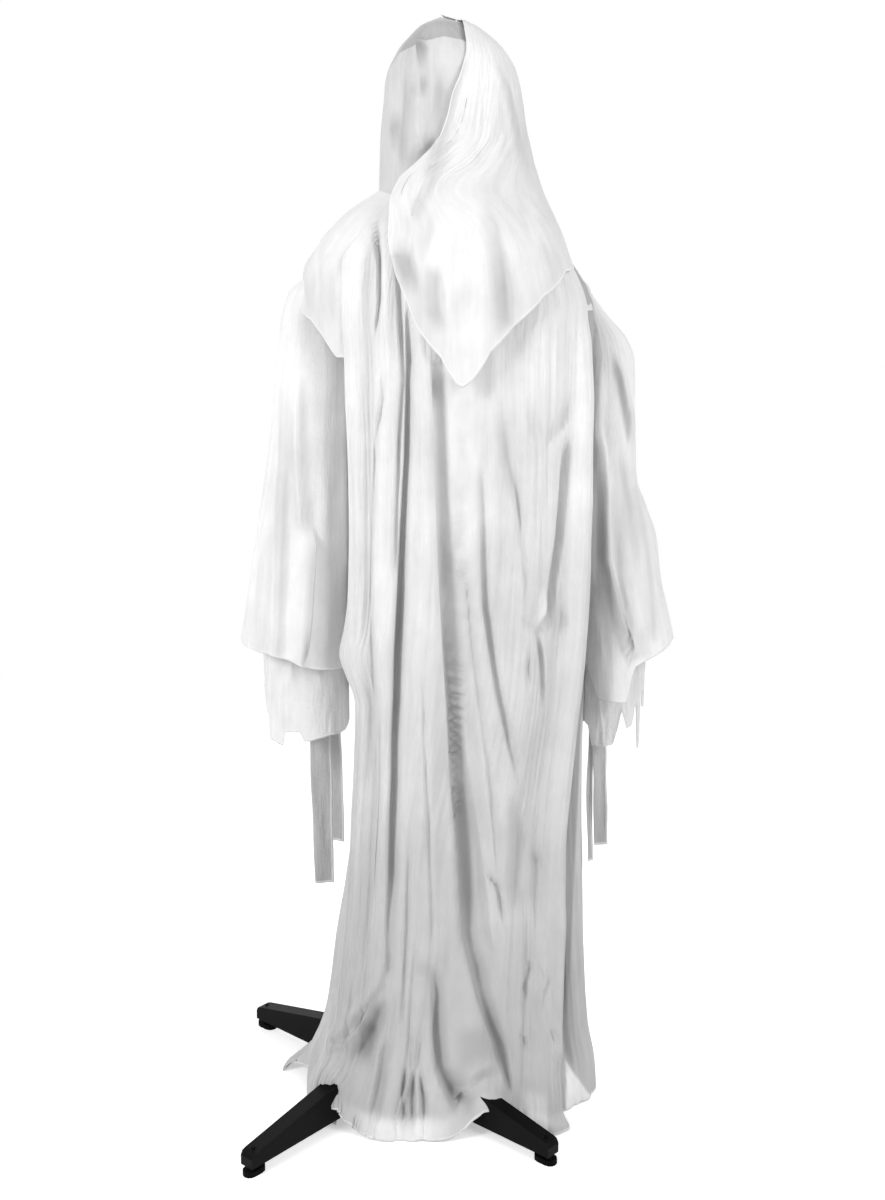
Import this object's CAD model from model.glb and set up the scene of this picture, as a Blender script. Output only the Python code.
# %% [markdown]
# # A life-size draped ghost
# The real object is a tall standing figure in white gauze: a veil over the head with a pointed
# flap down the back, a shoulder cape, a long pleated robe that reaches the floor, two wide hanging
# sleeves with ragged layers under them, and a black moulded stand with four legs.
# The mechanism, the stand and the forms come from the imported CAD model. This lesson loads them
# first, so that every piece of cloth is hung on what really carries it.

# %% Load the frame
import bpy
import numpy as np
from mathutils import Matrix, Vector


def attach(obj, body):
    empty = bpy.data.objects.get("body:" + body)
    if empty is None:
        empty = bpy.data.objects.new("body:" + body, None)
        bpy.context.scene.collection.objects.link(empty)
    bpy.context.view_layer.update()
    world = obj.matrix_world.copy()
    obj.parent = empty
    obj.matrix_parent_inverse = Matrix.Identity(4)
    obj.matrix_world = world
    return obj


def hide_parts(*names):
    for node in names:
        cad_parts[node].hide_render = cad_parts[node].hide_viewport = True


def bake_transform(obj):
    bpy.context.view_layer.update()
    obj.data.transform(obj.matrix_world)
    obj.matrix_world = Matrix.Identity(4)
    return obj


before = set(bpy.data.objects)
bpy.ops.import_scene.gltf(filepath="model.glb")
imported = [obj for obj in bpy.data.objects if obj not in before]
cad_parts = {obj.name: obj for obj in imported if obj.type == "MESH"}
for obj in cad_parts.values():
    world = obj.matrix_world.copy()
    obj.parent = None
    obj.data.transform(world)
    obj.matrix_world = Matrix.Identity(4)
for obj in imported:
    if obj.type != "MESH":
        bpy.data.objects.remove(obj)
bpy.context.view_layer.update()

# %% [markdown]
# ## Camera
# The figure is seen from behind, from a little above eye height. Blender could aim a camera with
# a constraint, but a location and a direction are plainer and nothing has to follow anything.

# %% Camera
camera_data = bpy.data.cameras.new("camera")
camera_data.sensor_width = 36.0
camera_data.lens = 45.4
camera = bpy.data.objects.new("camera", camera_data)
camera.location = (0.1992, 2.6787, 1.600)
looking = Vector((-0.06407, -0.97230, -0.22478))
camera.rotation_euler = looking.to_track_quat("-Z", "Y").to_euler()
bpy.context.scene.collection.objects.link(camera)
bpy.context.scene.camera = camera
bpy.context.scene.view_settings.view_transform = "Standard"
print("camera at", tuple(camera.location), "with a lens of", camera_data.lens, "mm")

# %% [markdown]
# ## Small helpers for nodes
# Materials and the world are trees of nodes. They could be written out node by node, but most of them
# are one sum or one change of range, so a few helpers make those in one line each.

# %% Helpers for nodes
FIRST_COLOUR, SECOND_COLOUR, MIXED_COLOUR = 6, 7, 2  # the sockets of a Mix node that mixes colours


def fresh_tree(owner):
    """The node tree of a material or a world, switched on and emptied."""
    owner.use_nodes = True
    owner.node_tree.nodes.clear()
    return owner.node_tree


def feed(tree, socket, value):
    """Links another node's output to a socket, or types a plain value into it."""
    if isinstance(value, bpy.types.NodeSocket):
        tree.links.new(value, socket)
    else:
        socket.default_value = value


def maths(tree, operation, *values, clamp=False):
    """The result of one Math node."""
    node = tree.nodes.new("ShaderNodeMath")
    node.operation = operation
    node.use_clamp = clamp
    for socket, value in zip(node.inputs, values):
        feed(tree, socket, value)
    return node.outputs[0]


def remap(tree, value, low, high, to_low=0.0, to_high=1.0, way="LINEAR"):
    """A value that lay between low and high, moved to between to_low and to_high and held there."""
    node = tree.nodes.new("ShaderNodeMapRange")
    node.interpolation_type = way
    for socket, end in (("From Min", low), ("From Max", high), ("To Min", to_low), ("To Max", to_high)):
        node.inputs[socket].default_value = end
    tree.links.new(value, node.inputs["Value"])
    return node.outputs["Result"]


def emission(tree, strength):
    """A white glow of a given strength."""
    node = tree.nodes.new("ShaderNodeEmission")
    feed(tree, node.inputs["Strength"], strength)
    return node


def to_surface(tree, shader, kind="ShaderNodeOutputMaterial"):
    """Ends a tree: the shader goes to the surface."""
    out = tree.nodes.new(kind)
    tree.links.new(shader.outputs[0], out.inputs["Surface"])


def white_behind(tree, dim, white=1.0):
    """A strength that is white to the camera and in reflections, and dim to the object."""
    path = tree.nodes.new("ShaderNodeLightPath")
    seen = maths(tree, "MAXIMUM", path.outputs["Is Camera Ray"], path.outputs["Is Glossy Ray"])
    seen = maths(tree, "MAXIMUM", seen, path.outputs["Is Transmission Ray"])
    return remap(tree, seen, 0.0, 1.0, dim, white)


print("node helpers: maths, remap, emission, white_behind")

# %% [markdown]
# ## Background
# The background is white to the camera and in reflections, but its light on the figure is dim and
# even. A white world that also lit the figure fully would wash every fold out of the cloth.

# %% World
EVEN_LIGHT = 0.50  # how strongly the background lights the object

world = bpy.data.worlds.new("studio")
bpy.context.scene.world = world
tree = fresh_tree(world)
light = tree.nodes.new("ShaderNodeBackground")
light.inputs["Color"].default_value = (1.0, 1.0, 1.0, 1.0)
feed(tree, light.inputs["Strength"], white_behind(tree, EVEN_LIGHT))
to_surface(tree, light, "ShaderNodeOutputWorld")
print("world:", world.name, "with a strength of", EVEN_LIGHT)

# %% [markdown]
# ## Floor
# The figure stands on a plain pale floor, which fades into the white of the background a few steps
# away, so that no horizon shows. A curved backdrop could do the same, but it would show from other
# sides.

# %% Floor
FLOOR_SIZE = 24.0
FLOOR_GLOW = 0.42                # what the camera sees added to the lit floor
FADE_FROM, FADE_TO = 0.9, 3.4    # the floor turns into background over these distances from the middle

bpy.ops.object.select_all(action="DESELECT")
bpy.ops.mesh.primitive_plane_add(size=FLOOR_SIZE, location=(0.0, 0.0, 0.0))
floor = bpy.context.object
floor.name = "floor"
pale = bpy.data.materials.new("pale_floor")
tree = fresh_tree(pale)
matt = tree.nodes.new("ShaderNodeBsdfDiffuse")
matt.inputs["Color"].default_value = (0.95, 0.95, 0.95, 1.0)
both = tree.nodes.new("ShaderNodeAddShader")
tree.links.new(matt.outputs[0], both.inputs[0])
tree.links.new(emission(tree, white_behind(tree, 0.0, FLOOR_GLOW)).outputs[0], both.inputs[1])
place = tree.nodes.new("ShaderNodeTexCoord")
reach = tree.nodes.new("ShaderNodeVectorMath")
reach.operation = "LENGTH"
tree.links.new(place.outputs["Object"], reach.inputs[0])
fade = tree.nodes.new("ShaderNodeMixShader")
faded = remap(tree, reach.outputs["Value"], FADE_FROM, FADE_TO, way="SMOOTHSTEP")
feed(tree, fade.inputs["Fac"], faded)
tree.links.new(both.outputs[0], fade.inputs[1])
tree.links.new(emission(tree, white_behind(tree, EVEN_LIGHT)).outputs[0], fade.inputs[2])
to_surface(tree, fade)
floor.data.materials.append(pale)
print("floor:", FLOOR_SIZE, "metres square")

# %% [markdown]
# ## Lamps
# White cloth only shows its folds when the light has a direction, so one lamp stands well to the
# left, where it grazes the folds, a weaker one high on the right, and a third lights the front.

# %% Lamps
def lamp(name, place, aim, size, watts):
    """A square lamp at a place, turned to its aim."""
    data = bpy.data.lights.new(name, "AREA")
    data.shape = "SQUARE"
    data.size = size
    data.energy = watts
    one = bpy.data.objects.new(name, data)
    one.location = place
    one.rotation_euler = (Vector(aim) - Vector(place)).to_track_quat("-Z", "Y").to_euler()
    bpy.context.scene.collection.objects.link(one)


lamp("key", (3.0, 2.2, 2.9), aim=(0.0, 0.0, 1.1), size=1.1, watts=94.0)
lamp("fill", (-2.6, 2.5, 3.2), aim=(0.0, 0.0, 1.3), size=1.6, watts=76.0)
lamp("front_fill", (0.6, -3.4, 2.6), aim=(0.0, 0.0, 1.2), size=2.4, watts=40.0)

# %% [markdown]
# ## Finishes
# Every finish is made of nodes, with no pictures. Four helpers turn a written grey into a linear
# colour, make a noise, mix two colours and turn a height into relief.

# %% Helpers for finishes
def tint(value):
    """A grey or an (r, g, b) as written, turned into the linear colour that nodes want."""
    three = (value, value, value) if np.isscalar(value) else value
    return tuple(((v + 0.055) / 1.055) ** 2.4 if v > 0.04 else v / 12.92 for v in three) + (1.0,)


def noise(tree, source, scale, detail, stretch=(1.0, 1.0, 1.0), roughness=0.5):
    """A noise from 0 to 1 on the coordinates of source, which stretch scales one by one."""
    turn = tree.nodes.new("ShaderNodeMapping")
    turn.inputs["Scale"].default_value = stretch
    tree.links.new(source, turn.inputs["Vector"])
    one = tree.nodes.new("ShaderNodeTexNoise")
    one.inputs["Scale"].default_value = scale
    one.inputs["Detail"].default_value = detail
    one.inputs["Roughness"].default_value = roughness
    tree.links.new(turn.outputs[0], one.inputs["Vector"])
    return one.outputs["Fac"]


def mixed(tree, factor, first, second):
    """A colour between first, at a factor of 0, and second, at 1."""
    node = tree.nodes.new("ShaderNodeMix")
    node.data_type = "RGBA"
    feed(tree, node.inputs["Factor"], factor)
    feed(tree, node.inputs[FIRST_COLOUR], first)
    feed(tree, node.inputs[SECOND_COLOUR], second)
    return node.outputs[MIXED_COLOUR]


def bumped(tree, height, strength, distance):
    """A normal that follows a height. distance is in metres."""
    node = tree.nodes.new("ShaderNodeBump")
    node.inputs["Strength"].default_value = strength
    node.inputs["Distance"].default_value = distance
    tree.links.new(height, node.inputs["Height"])
    return node.outputs["Normal"]


print("grey 0.5 as written is", round(tint(0.5)[0], 3), "in linear light")

# %% [markdown]
# ## Grained finishes
# Plastic, powder coat and plated steel all have a grain and rubbed edges. One function lays a noise
# over colour, roughness and relief, and each finish then asks for its own grain. Numbers that are the
# same all over the surface are typed straight into the shader.

# %% Grained finishes
EDGE_RADIUS = 0.0016             # how wide an edge is rubbed, in metres
EDGE_FROM, EDGE_TO = 0.99, 0.86  # cosines of the turned normal where wear starts and where it is full
COAT_ROUGHNESS = 0.25


def at_edges(tree):
    """1 along the sharp edges, which a bevel that only the shader sees finds."""
    rounded = tree.nodes.new("ShaderNodeBevel")
    rounded.samples = 4
    rounded.inputs["Radius"].default_value = EDGE_RADIUS
    flat = tree.nodes.new("ShaderNodeNewGeometry")
    same = tree.nodes.new("ShaderNodeVectorMath")
    same.operation = "DOT_PRODUCT"
    tree.links.new(rounded.outputs[0], same.inputs[0])
    tree.links.new(flat.outputs["Normal"], same.inputs[1])
    return remap(tree, same.outputs["Value"], EDGE_FROM, EDGE_TO)


def grained(name, dark, light, scale, rough, bump, fine=6.0, metal=0.0, coat=0.0, stretch=(1, 1, 1),
            worn=None, gleam=0.5):
    """A finish whose colour follows a coarse noise, and its roughness and height one that is finer by
    the factor fine. worn is the colour of its rubbed edges."""
    material = bpy.data.materials.new(name)
    tree = fresh_tree(material)
    place = tree.nodes.new("ShaderNodeTexCoord").outputs["Object"]
    coarse = noise(tree, place, scale, 5.0, stretch)
    grain = noise(tree, place, scale * fine, 3.0, stretch)
    colour = mixed(tree, coarse, tint(dark), tint(light))
    if worn is not None:
        colour = mixed(tree, maths(tree, "MULTIPLY", at_edges(tree), grain), colour, tint(worn))
    shader = tree.nodes.new("ShaderNodeBsdfPrincipled")
    shader.inputs["Metallic"].default_value = metal
    shader.inputs["Specular IOR Level"].default_value = gleam
    shader.inputs["Coat Weight"].default_value = coat
    shader.inputs["Coat Roughness"].default_value = COAT_ROUGHNESS
    feed(tree, shader.inputs["Base Color"], colour)
    feed(tree, shader.inputs["Roughness"], remap(tree, grain, 0.0, 1.0, *rough))
    feed(tree, shader.inputs["Normal"], bumped(tree, grain, bump, 0.001))
    to_surface(tree, shader)
    return material


print("solids that need a finish:", len(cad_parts))

# %% [markdown]
# ## Stand, works and forms
# The stand is black moulded plastic with a fine spark texture, rubbed a little at its edges. The tubes
# and housings under the robe are powder-coated steel, the gears natural nylon, the forms white blown
# plastic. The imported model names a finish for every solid, so one loop gives each its own.

# %% Finishes of the solids
FINISHES = {
    "black_plastic": grained("stand_black", 0.012, 0.03, 26.0, (0.38, 0.56), 0.35, fine=34.0, worn=0.12,
                             gleam=0.06),
    "pad_rubber": grained("pad_rubber_black", 0.012, 0.03, 60.0, (0.66, 0.86), 0.5, fine=20.0, worn=0.10,
                          gleam=0.06),
    "grey_plastic": grained("case_grey", 0.20, 0.25, 30.0, (0.45, 0.62), 0.3, fine=30.0, worn=0.36),
    "black_steel": grained("powder_coat", 0.09, 0.14, 20.0, (0.40, 0.55), 0.45, fine=26.0, worn=0.42),
    "bright_steel": grained("zinc_plate", 0.66, 0.80, 34.0, (0.24, 0.42), 0.2, fine=9.0, metal=1.0,
                            stretch=(1, 1, 5)),
    "nylon": grained("gear_nylon", 0.82, 0.90, 40.0, (0.32, 0.48), 0.15, fine=12.0, worn=0.72),
    "form_plastic": grained("blown_form", 0.78, 0.86, 8.0, (0.38, 0.54), 0.3, fine=14.0, worn=0.66),
    "face_plastic": grained("pale_paint", 0.80, 0.88, 9.0, (0.42, 0.60), 0.25, fine=40.0, worn=0.6),
    "lamp": grained("lamp_lens", (0.62, 0.76, 0.92), (0.74, 0.86, 0.97), 50.0, (0.06, 0.14), 0.05,
                    coat=0.6),
    "button_red": grained("button_red_gloss", (0.60, 0.05, 0.04), (0.72, 0.08, 0.06), 60.0, (0.2, 0.3), 0.1,
                          coat=0.4, worn=(0.8, 0.3, 0.26)),
    "board": grained("board_green", (0.04, 0.26, 0.12), (0.08, 0.36, 0.18), 120.0, (0.25, 0.4), 0.3,
                     coat=0.5),
    "cell": grained("cell_wrap", (0.10, 0.15, 0.26), (0.14, 0.20, 0.33), 50.0, (0.2, 0.3), 0.1, coat=0.6,
                    worn=0.6),
    "cable": grained("cable_sheath", 0.06, 0.10, 60.0, (0.5, 0.68), 0.3, fine=16.0),
}
dressed = 0
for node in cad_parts.values():
    was = node.data.materials[0].name.split(".")[0] if node.data.materials else ""
    if was in FINISHES:
        node.data.materials[0] = FINISHES[was]
        dressed += 1
print("solids with a finish of their own:", dressed, "of", len(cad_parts))

# %% [markdown]
# ## Gauze
# The cloth is thin white cotton gauze, a little see-through and crinkled all over. Its crinkle runs
# along the threads, so two noises are stretched along the cloth's own length and width, which its
# UV map gives in metres from the hem and from the left edge. Alpha carries the see-through patches, so
# light reaches the inside. A doubled hem is closer and brighter, and the grey wash of the real cloth
# gathers in its folds, which each piece marks with a value called fold. Below nought, the same value
# marks the clean patches near the floor.

# %% Helpers for gauze
GAUZE_ROUGHNESS = 0.6              # of every noise in the cloth
HEM_WIDE, HEM_SOFT = 0.0055, 0.002  # the doubled edge and the blur of its line, in metres
HEM_BRIGHT, HEM_RAISED, HEM_COVER = 0.6, 0.35, 0.97
FLOOR_FROM, FLOOR_TO = 1.15, 0.25  # the wash darkens from the first height down to the second
FLOOR_DARKER = 0.22                # how much darker the wash near the floor is than the shade
FOLD_DARKER = 0.44                 # how much darker it is in a fold, as a share of the shade
FOLD_SHARE = 0.6                   # the most of it that shows in the deepest fold
THREAD_HIGH, STREAK_HIGH = 0.18, 1.5
RELIEF = 0.004                     # the height of the crinkle, in metres


def hemmed(tree, cloth_map):
    """1 on the doubled hems, which run along the foot and the first edge of the cloth's own map."""
    edges = tree.nodes.new("ShaderNodeSeparateXYZ")
    tree.links.new(cloth_map, edges.inputs[0])
    sides = [remap(tree, edges.outputs[way], HEM_WIDE, HEM_WIDE - HEM_SOFT) for way in ("X", "Y")]
    return maths(tree, "MAXIMUM", *sides)


def gauze_colour(tree, place, patches, hem, bright, shade, foot_shade):
    """Streaks and patches between shade and bright, greyed near the floor and in the folds."""
    lines = noise(tree, place.outputs["UV"], 30.0, 4.0, (2.4, 0.22, 1.0), GAUZE_ROUGHNESS)
    blotches = remap(tree, patches, 0.3, 0.66, 0.0, 0.55)
    streaked = maths(tree, "MULTIPLY_ADD", remap(tree, lines, 0.36, 0.64), 0.6, blotches, clamp=True)
    colour = mixed(tree, streaked, tint(shade), tint(bright))
    height = tree.nodes.new("ShaderNodeSeparateXYZ")
    tree.links.new(place.outputs["Object"], height.inputs[0])
    fold = tree.nodes.new("ShaderNodeAttribute")
    fold.attribute_name = "fold"
    near_floor = remap(tree, height.outputs["Z"], FLOOR_FROM, FLOOR_TO, 0.0, foot_shade)
    not_clean = remap(tree, fold.outputs["Fac"], -1.0, 0.0)
    washed = maths(tree, "MULTIPLY", near_floor, not_clean)
    colour = mixed(tree, washed, colour, tint(shade - FLOOR_DARKER))
    in_fold = maths(tree, "MULTIPLY", fold.outputs["Fac"], FOLD_SHARE, clamp=True)
    colour = mixed(tree, in_fold, colour, tint(shade * (1.0 - FOLD_DARKER)))
    return mixed(tree, maths(tree, "MULTIPLY", hem, HEM_BRIGHT), colour, tint(bright))


def gauze_height(tree, cloth_map, crumple, hem):
    """The crumple, with the two ways of the threads, the long streaks and the doubled hem on it."""
    height = crumple
    for scale, detail, stretch, high in ((240.0, 2.0, (1.0, 0.22, 1.0), THREAD_HIGH),
                                         (200.0, 2.0, (0.2, 1.0, 1.0), THREAD_HIGH),
                                         (16.0, 6.0, (3.0, 0.35, 1.0), STREAK_HIGH)):
        lines = noise(tree, cloth_map, scale, detail, stretch, GAUZE_ROUGHNESS)
        height = maths(tree, "MULTIPLY_ADD", lines, high, height)
    return maths(tree, "MULTIPLY_ADD", hem, HEM_RAISED, height)


print("a hem of", HEM_WIDE * 1000, "mm")

# %% [markdown]
# ## Five gauzes
# The robe, the veil, the hood, the sleeves and the ragged layers are all of the same cloth, but the
# veil and the hood are thinner and smoother, the hood is the greyest, and the rags are a little greyer
# than the robe and the most crumpled. Only the robe is greyed near the floor.

# %% Gauze finishes
def gauze(name, bright, shade, cover, crinkle=0.5, foot_shade=0.0):
    """White gauze from bright to shade. cover is how much of what lies behind it hides, and foot_shade
    how much of the grey wash shows at the floor."""
    material = bpy.data.materials.new(name)
    tree = fresh_tree(material)
    place = tree.nodes.new("ShaderNodeTexCoord")
    cloth_map = place.outputs["UV"]
    patches = noise(tree, place.outputs["Object"], 7.0, 4.0, (1.0, 1.0, 0.7), GAUZE_ROUGHNESS)
    crumple = noise(tree, cloth_map, 42.0, 5.0, (1.0, 0.8, 1.0), GAUZE_ROUGHNESS)
    hem = hemmed(tree, cloth_map)
    closer = remap(tree, patches, 0.35, 0.7, cover, min(1.0, cover + 0.16))
    alpha = maths(tree, "MAXIMUM", closer, remap(tree, hem, 0.0, 1.0, 0.0, HEM_COVER))
    colour = gauze_colour(tree, place, patches, hem, bright, shade, foot_shade)
    height = gauze_height(tree, cloth_map, crumple, hem)
    shader = tree.nodes.new("ShaderNodeBsdfPrincipled")
    shader.inputs["Sheen Weight"].default_value = 0.15
    shader.inputs["Sheen Roughness"].default_value = 0.5
    shader.inputs["IOR"].default_value = 1.3
    feed(tree, shader.inputs["Base Color"], colour)
    feed(tree, shader.inputs["Roughness"], remap(tree, crumple, 0.3, 0.7, 0.78, 0.96))
    feed(tree, shader.inputs["Alpha"], alpha)
    feed(tree, shader.inputs["Normal"], bumped(tree, height, crinkle, RELIEF))
    to_surface(tree, shader)
    return material


white_gauze = gauze("white_gauze_cloth", 0.972, 0.925, 0.86, foot_shade=0.8)
veil_gauze = gauze("veil_gauze_cloth", 0.965, 0.925, 0.80, crinkle=0.3)
hood_gauze = gauze("hood_gauze_cloth", 0.905, 0.84, 0.70, crinkle=0.4)
sleeve_gauze = gauze("sleeve_gauze_cloth", 0.98, 0.94, 0.86, crinkle=0.45)
grey_gauze = gauze("grey_gauze_cloth", 0.95, 0.89, 0.92, crinkle=0.7)
print("gauzes:", [m.name for m in bpy.data.materials if "gauze" in m.name])

# %% [markdown]
# ## Cutting and hanging a sheet
# A garment that hangs is a grid of points: columns run down the cloth and rows run round it. It
# could be draped by a simulation, but the folds of this figure are known one by one, so the grid
# is shaped by hand: first the round form that carries it, then each fold, then the small creases.
# The sizes come from tables of heights, so the first helpers read a table.

# %% Helpers for tables
MM = 0.001


def between(table, z):
    """The value at height z of a table of [height, value] rows, on a smooth line with no overshoot."""
    at, value = np.array(sorted(table), float).T
    step = np.diff(at)
    rise = np.diff(value) / step
    slope = np.zeros(len(at))
    slope[0], slope[-1] = rise[0], rise[-1]
    before, after = 2 * step[1:] + step[:-1], step[1:] + 2 * step[:-1]
    same_way = rise[:-1] * rise[1:] > 0
    low, high = np.where(same_way, rise[:-1], 1.0), np.where(same_way, rise[1:], 1.0)
    slope[1:-1] = np.where(same_way, (before + after) / (before / low + after / high), 0.0)
    i = np.clip(np.searchsorted(at, z, side="right") - 1, 0, len(step) - 1)
    t = np.clip((z - at[i]) / step[i], 0.0, 1.0)
    return ((1 + 2 * t) * (1 - t) ** 2 * value[i] + t * (1 - t) ** 2 * step[i] * slope[i]
            + t * t * (3 - 2 * t) * value[i + 1] + t * t * (t - 1) * step[i] * slope[i + 1])


def stepped(table, z):
    """The same on straight lines, for a torn edge."""
    rows = np.array(sorted(table), float)
    return np.interp(z, rows[:, 0], rows[:, 1])


def eased(value, low, high):
    """0 below low, 1 above high, and smooth in between."""
    part = np.clip((value - low) / (high - low), 0.0, 1.0)
    return part * part * (3.0 - 2.0 * part)


print("a quarter of the way up an eased step:", eased(0.25, 0.0, 1.0))

# %% [markdown]
# ## Waves
# Between its named folds cloth is never smooth. The noise of a texture could move it, but it can't be
# made coarse one way and fine the other, so random numbers on a small lattice are joined smoothly.
# Each wave has its own seed, so that every run gives the same cloth.

# %% Helpers for waves
def ripple(across, down, cells_across, cells_down, seed):
    """Soft random waves from about -1 to 1 on a grid, the same for the same seed."""
    lattice = np.random.default_rng(seed).uniform(-1.6, 1.6, (cells_down + 4, cells_across + 4))
    total = 0.0
    column = np.clip(across, 0.0, 1.0) * cells_across
    row = np.clip(down, 0.0, 1.0) * cells_down
    i, j = np.floor(column).astype(int), np.floor(row).astype(int)
    f, g = column - i, row - j

    def weights(t):
        return ((1 - t) ** 3 / 6, (3 * t**3 - 6 * t**2 + 4) / 6,
                (-3 * t**3 + 3 * t**2 + 3 * t + 1) / 6, t**3 / 6)

    for a, weight_across in enumerate(weights(f)):
        for b, weight_down in enumerate(weights(g)):
            total = total + weight_across * weight_down * lattice[j + b, i + a]
    return total


def pleats(across, down, cells_across, cells_down, seed):
    """Round ridges with narrow valleys between them, as gathered cloth has."""
    return np.abs(ripple(across, down, cells_across, cells_down, seed)) ** 0.75


print("a wave at its middle:", round(float(ripple(np.array(0.5), np.array(0.5), 4, 4, 1)), 3))

# %% [markdown]
# ## Rings and creases
# The form that carries a garment is a stack of flattened rings. A fold is a line drawn down it, with
# a width and a depth, that presses the ring in along the line.

# %% Helpers for rings and creases
def outward(grid, sign=1.0):
    """The direction straight out of the cloth at each point."""
    step_across = np.gradient(grid, axis=1)
    step_down = np.gradient(grid, axis=0)
    straight = np.cross(step_across, step_down)
    length = np.linalg.norm(straight, axis=2, keepdims=True)
    return sign * straight / np.maximum(length, 1e-9)


def ring(turn, left, right, front, back, square=0.8):
    """A point of a flattened ring: a quarter turn leads from the left to the back."""
    c, s = np.cos(turn), np.sin(turn)
    x = np.where(c > 0, left, right) * np.sign(c) * np.abs(c) ** square
    y = np.where(s > 0, back, front) * np.sign(s) * np.abs(s) ** square
    return x, y


CREASE_FADE = 50    # a crease runs out over this length, in mm, at both its ends
CREASE_FLANK = 2.6  # its flanks are steeper than a bell's, whose power is 2


def crease(at_x, at_z, creases):
    """How far named creases press each point in, and how far they lean it sideways. Each crease is its
    width, its lean and a line of (x, height, depth), where a depth below nought is a ridge."""
    depth = np.zeros(at_x.shape)
    lean = np.zeros(at_x.shape)
    for wide, over, line in creases:
        rows = np.array(sorted((z, x, deep) for x, z, deep in line), float)
        centre = np.interp(at_z, rows[:, 0], rows[:, 1])
        deep = np.interp(at_z, rows[:, 0], rows[:, 2], left=0.0, right=0.0)
        lowest, highest = rows[0, 0], rows[-1, 0]
        ends = eased(at_z, lowest, lowest + CREASE_FADE) * eased(-at_z, -highest, CREASE_FADE - highest)
        bell = np.exp(-np.abs((at_x - centre) / wide) ** CREASE_FLANK) * ends
        depth += deep * bell
        lean += over * bell
    return depth, lean


print("a ring's quarter turn:", [float(n.round(1)) for n in ring(np.array(np.pi / 2), 2.0, 2.0, 1.0, 1.0)])

# %% [markdown]
# ## From a grid to a sheet
# The grid becomes a mesh with a map of its own, in metres, for the weave to follow, and a value at each
# point for how deep in a fold it lies. A Solidify modifier then gives it a real thickness.

# %% Helpers for sheets
def cloth(name, grid, thick=1.2, closed=False, width=1.0, length=1.0, fold=None):
    """Turns a grid in millimetres into a sheet with a real thickness, its UV map in metres. fold is how
    deep in a fold each point lies, from 0 to 1, or down to -1 where the cloth is clean."""
    rows, columns = grid.shape[:2]
    number = np.arange(rows * columns).reshape(rows, columns)
    if closed:
        number = np.concatenate([number, number[:, :1]], axis=1)
    corners = [number[:-1, :-1], number[1:, :-1], number[1:, 1:], number[:-1, 1:]]
    faces = np.stack(corners, axis=-1).reshape(-1, 4)
    mesh = bpy.data.meshes.new(name)
    mesh.from_pydata((grid.reshape(-1, 3) * MM).tolist(), [], faces.tolist())
    layer = mesh.uv_layers.new(name="cloth")
    wide = number.shape[1] - 1
    down, across = np.divmod(np.arange((rows - 1) * wide), wide)
    u = np.stack([across, across, across + 1, across + 1], axis=-1) / wide * width
    v = (rows - 1 - np.stack([down, down + 1, down + 1, down], axis=-1)) / (rows - 1) * length
    layer.data.foreach_set("uv", np.stack([u, v], axis=-1).reshape(-1).astype(float))
    marks = mesh.attributes.new("fold", "FLOAT", "POINT")
    fold = np.zeros(rows * columns) if fold is None else np.clip(fold, -1, 1)
    marks.data.foreach_set("value", fold.reshape(-1))
    mesh.polygons.foreach_set("use_smooth", [True] * len(mesh.polygons))
    mesh.update()
    piece = bpy.data.objects.new(name, mesh)
    bpy.context.scene.collection.objects.link(piece)
    bpy.ops.object.select_all(action="DESELECT")
    bpy.context.view_layer.objects.active = piece
    piece.select_set(True)
    wall = piece.modifiers.new("wall", "SOLIDIFY")
    wall.thickness = thick * MM
    wall.offset = -1.0
    bpy.ops.object.modifier_apply(modifier=wall.name)
    return piece


def flat_area(grid):
    """The cloth's area in square metres, folds and all."""
    a, b = grid[1:, :-1] - grid[:-1, :-1], grid[:-1, 1:] - grid[:-1, :-1]
    c, d = grid[1:, 1:] - grid[:-1, 1:], grid[1:, 1:] - grid[1:, :-1]
    halves = np.linalg.norm(np.cross(a, b), axis=2) + np.linalg.norm(np.cross(c, d), axis=2)
    return float(halves.sum()) / 2.0 * MM * MM


# %% [markdown]
# ## The robe's back
# The robe hangs from the shoulders to the floor. Its back is one wide panel whose pleats start at
# the collar: two deep narrow ones beside the spine, a broad smooth field on the right, and a long
# ridge near the right edge with a dark gap beyond it. Each of them is one entry of a list: its
# width, its lean, and a line of places with the depth at each.

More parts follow.
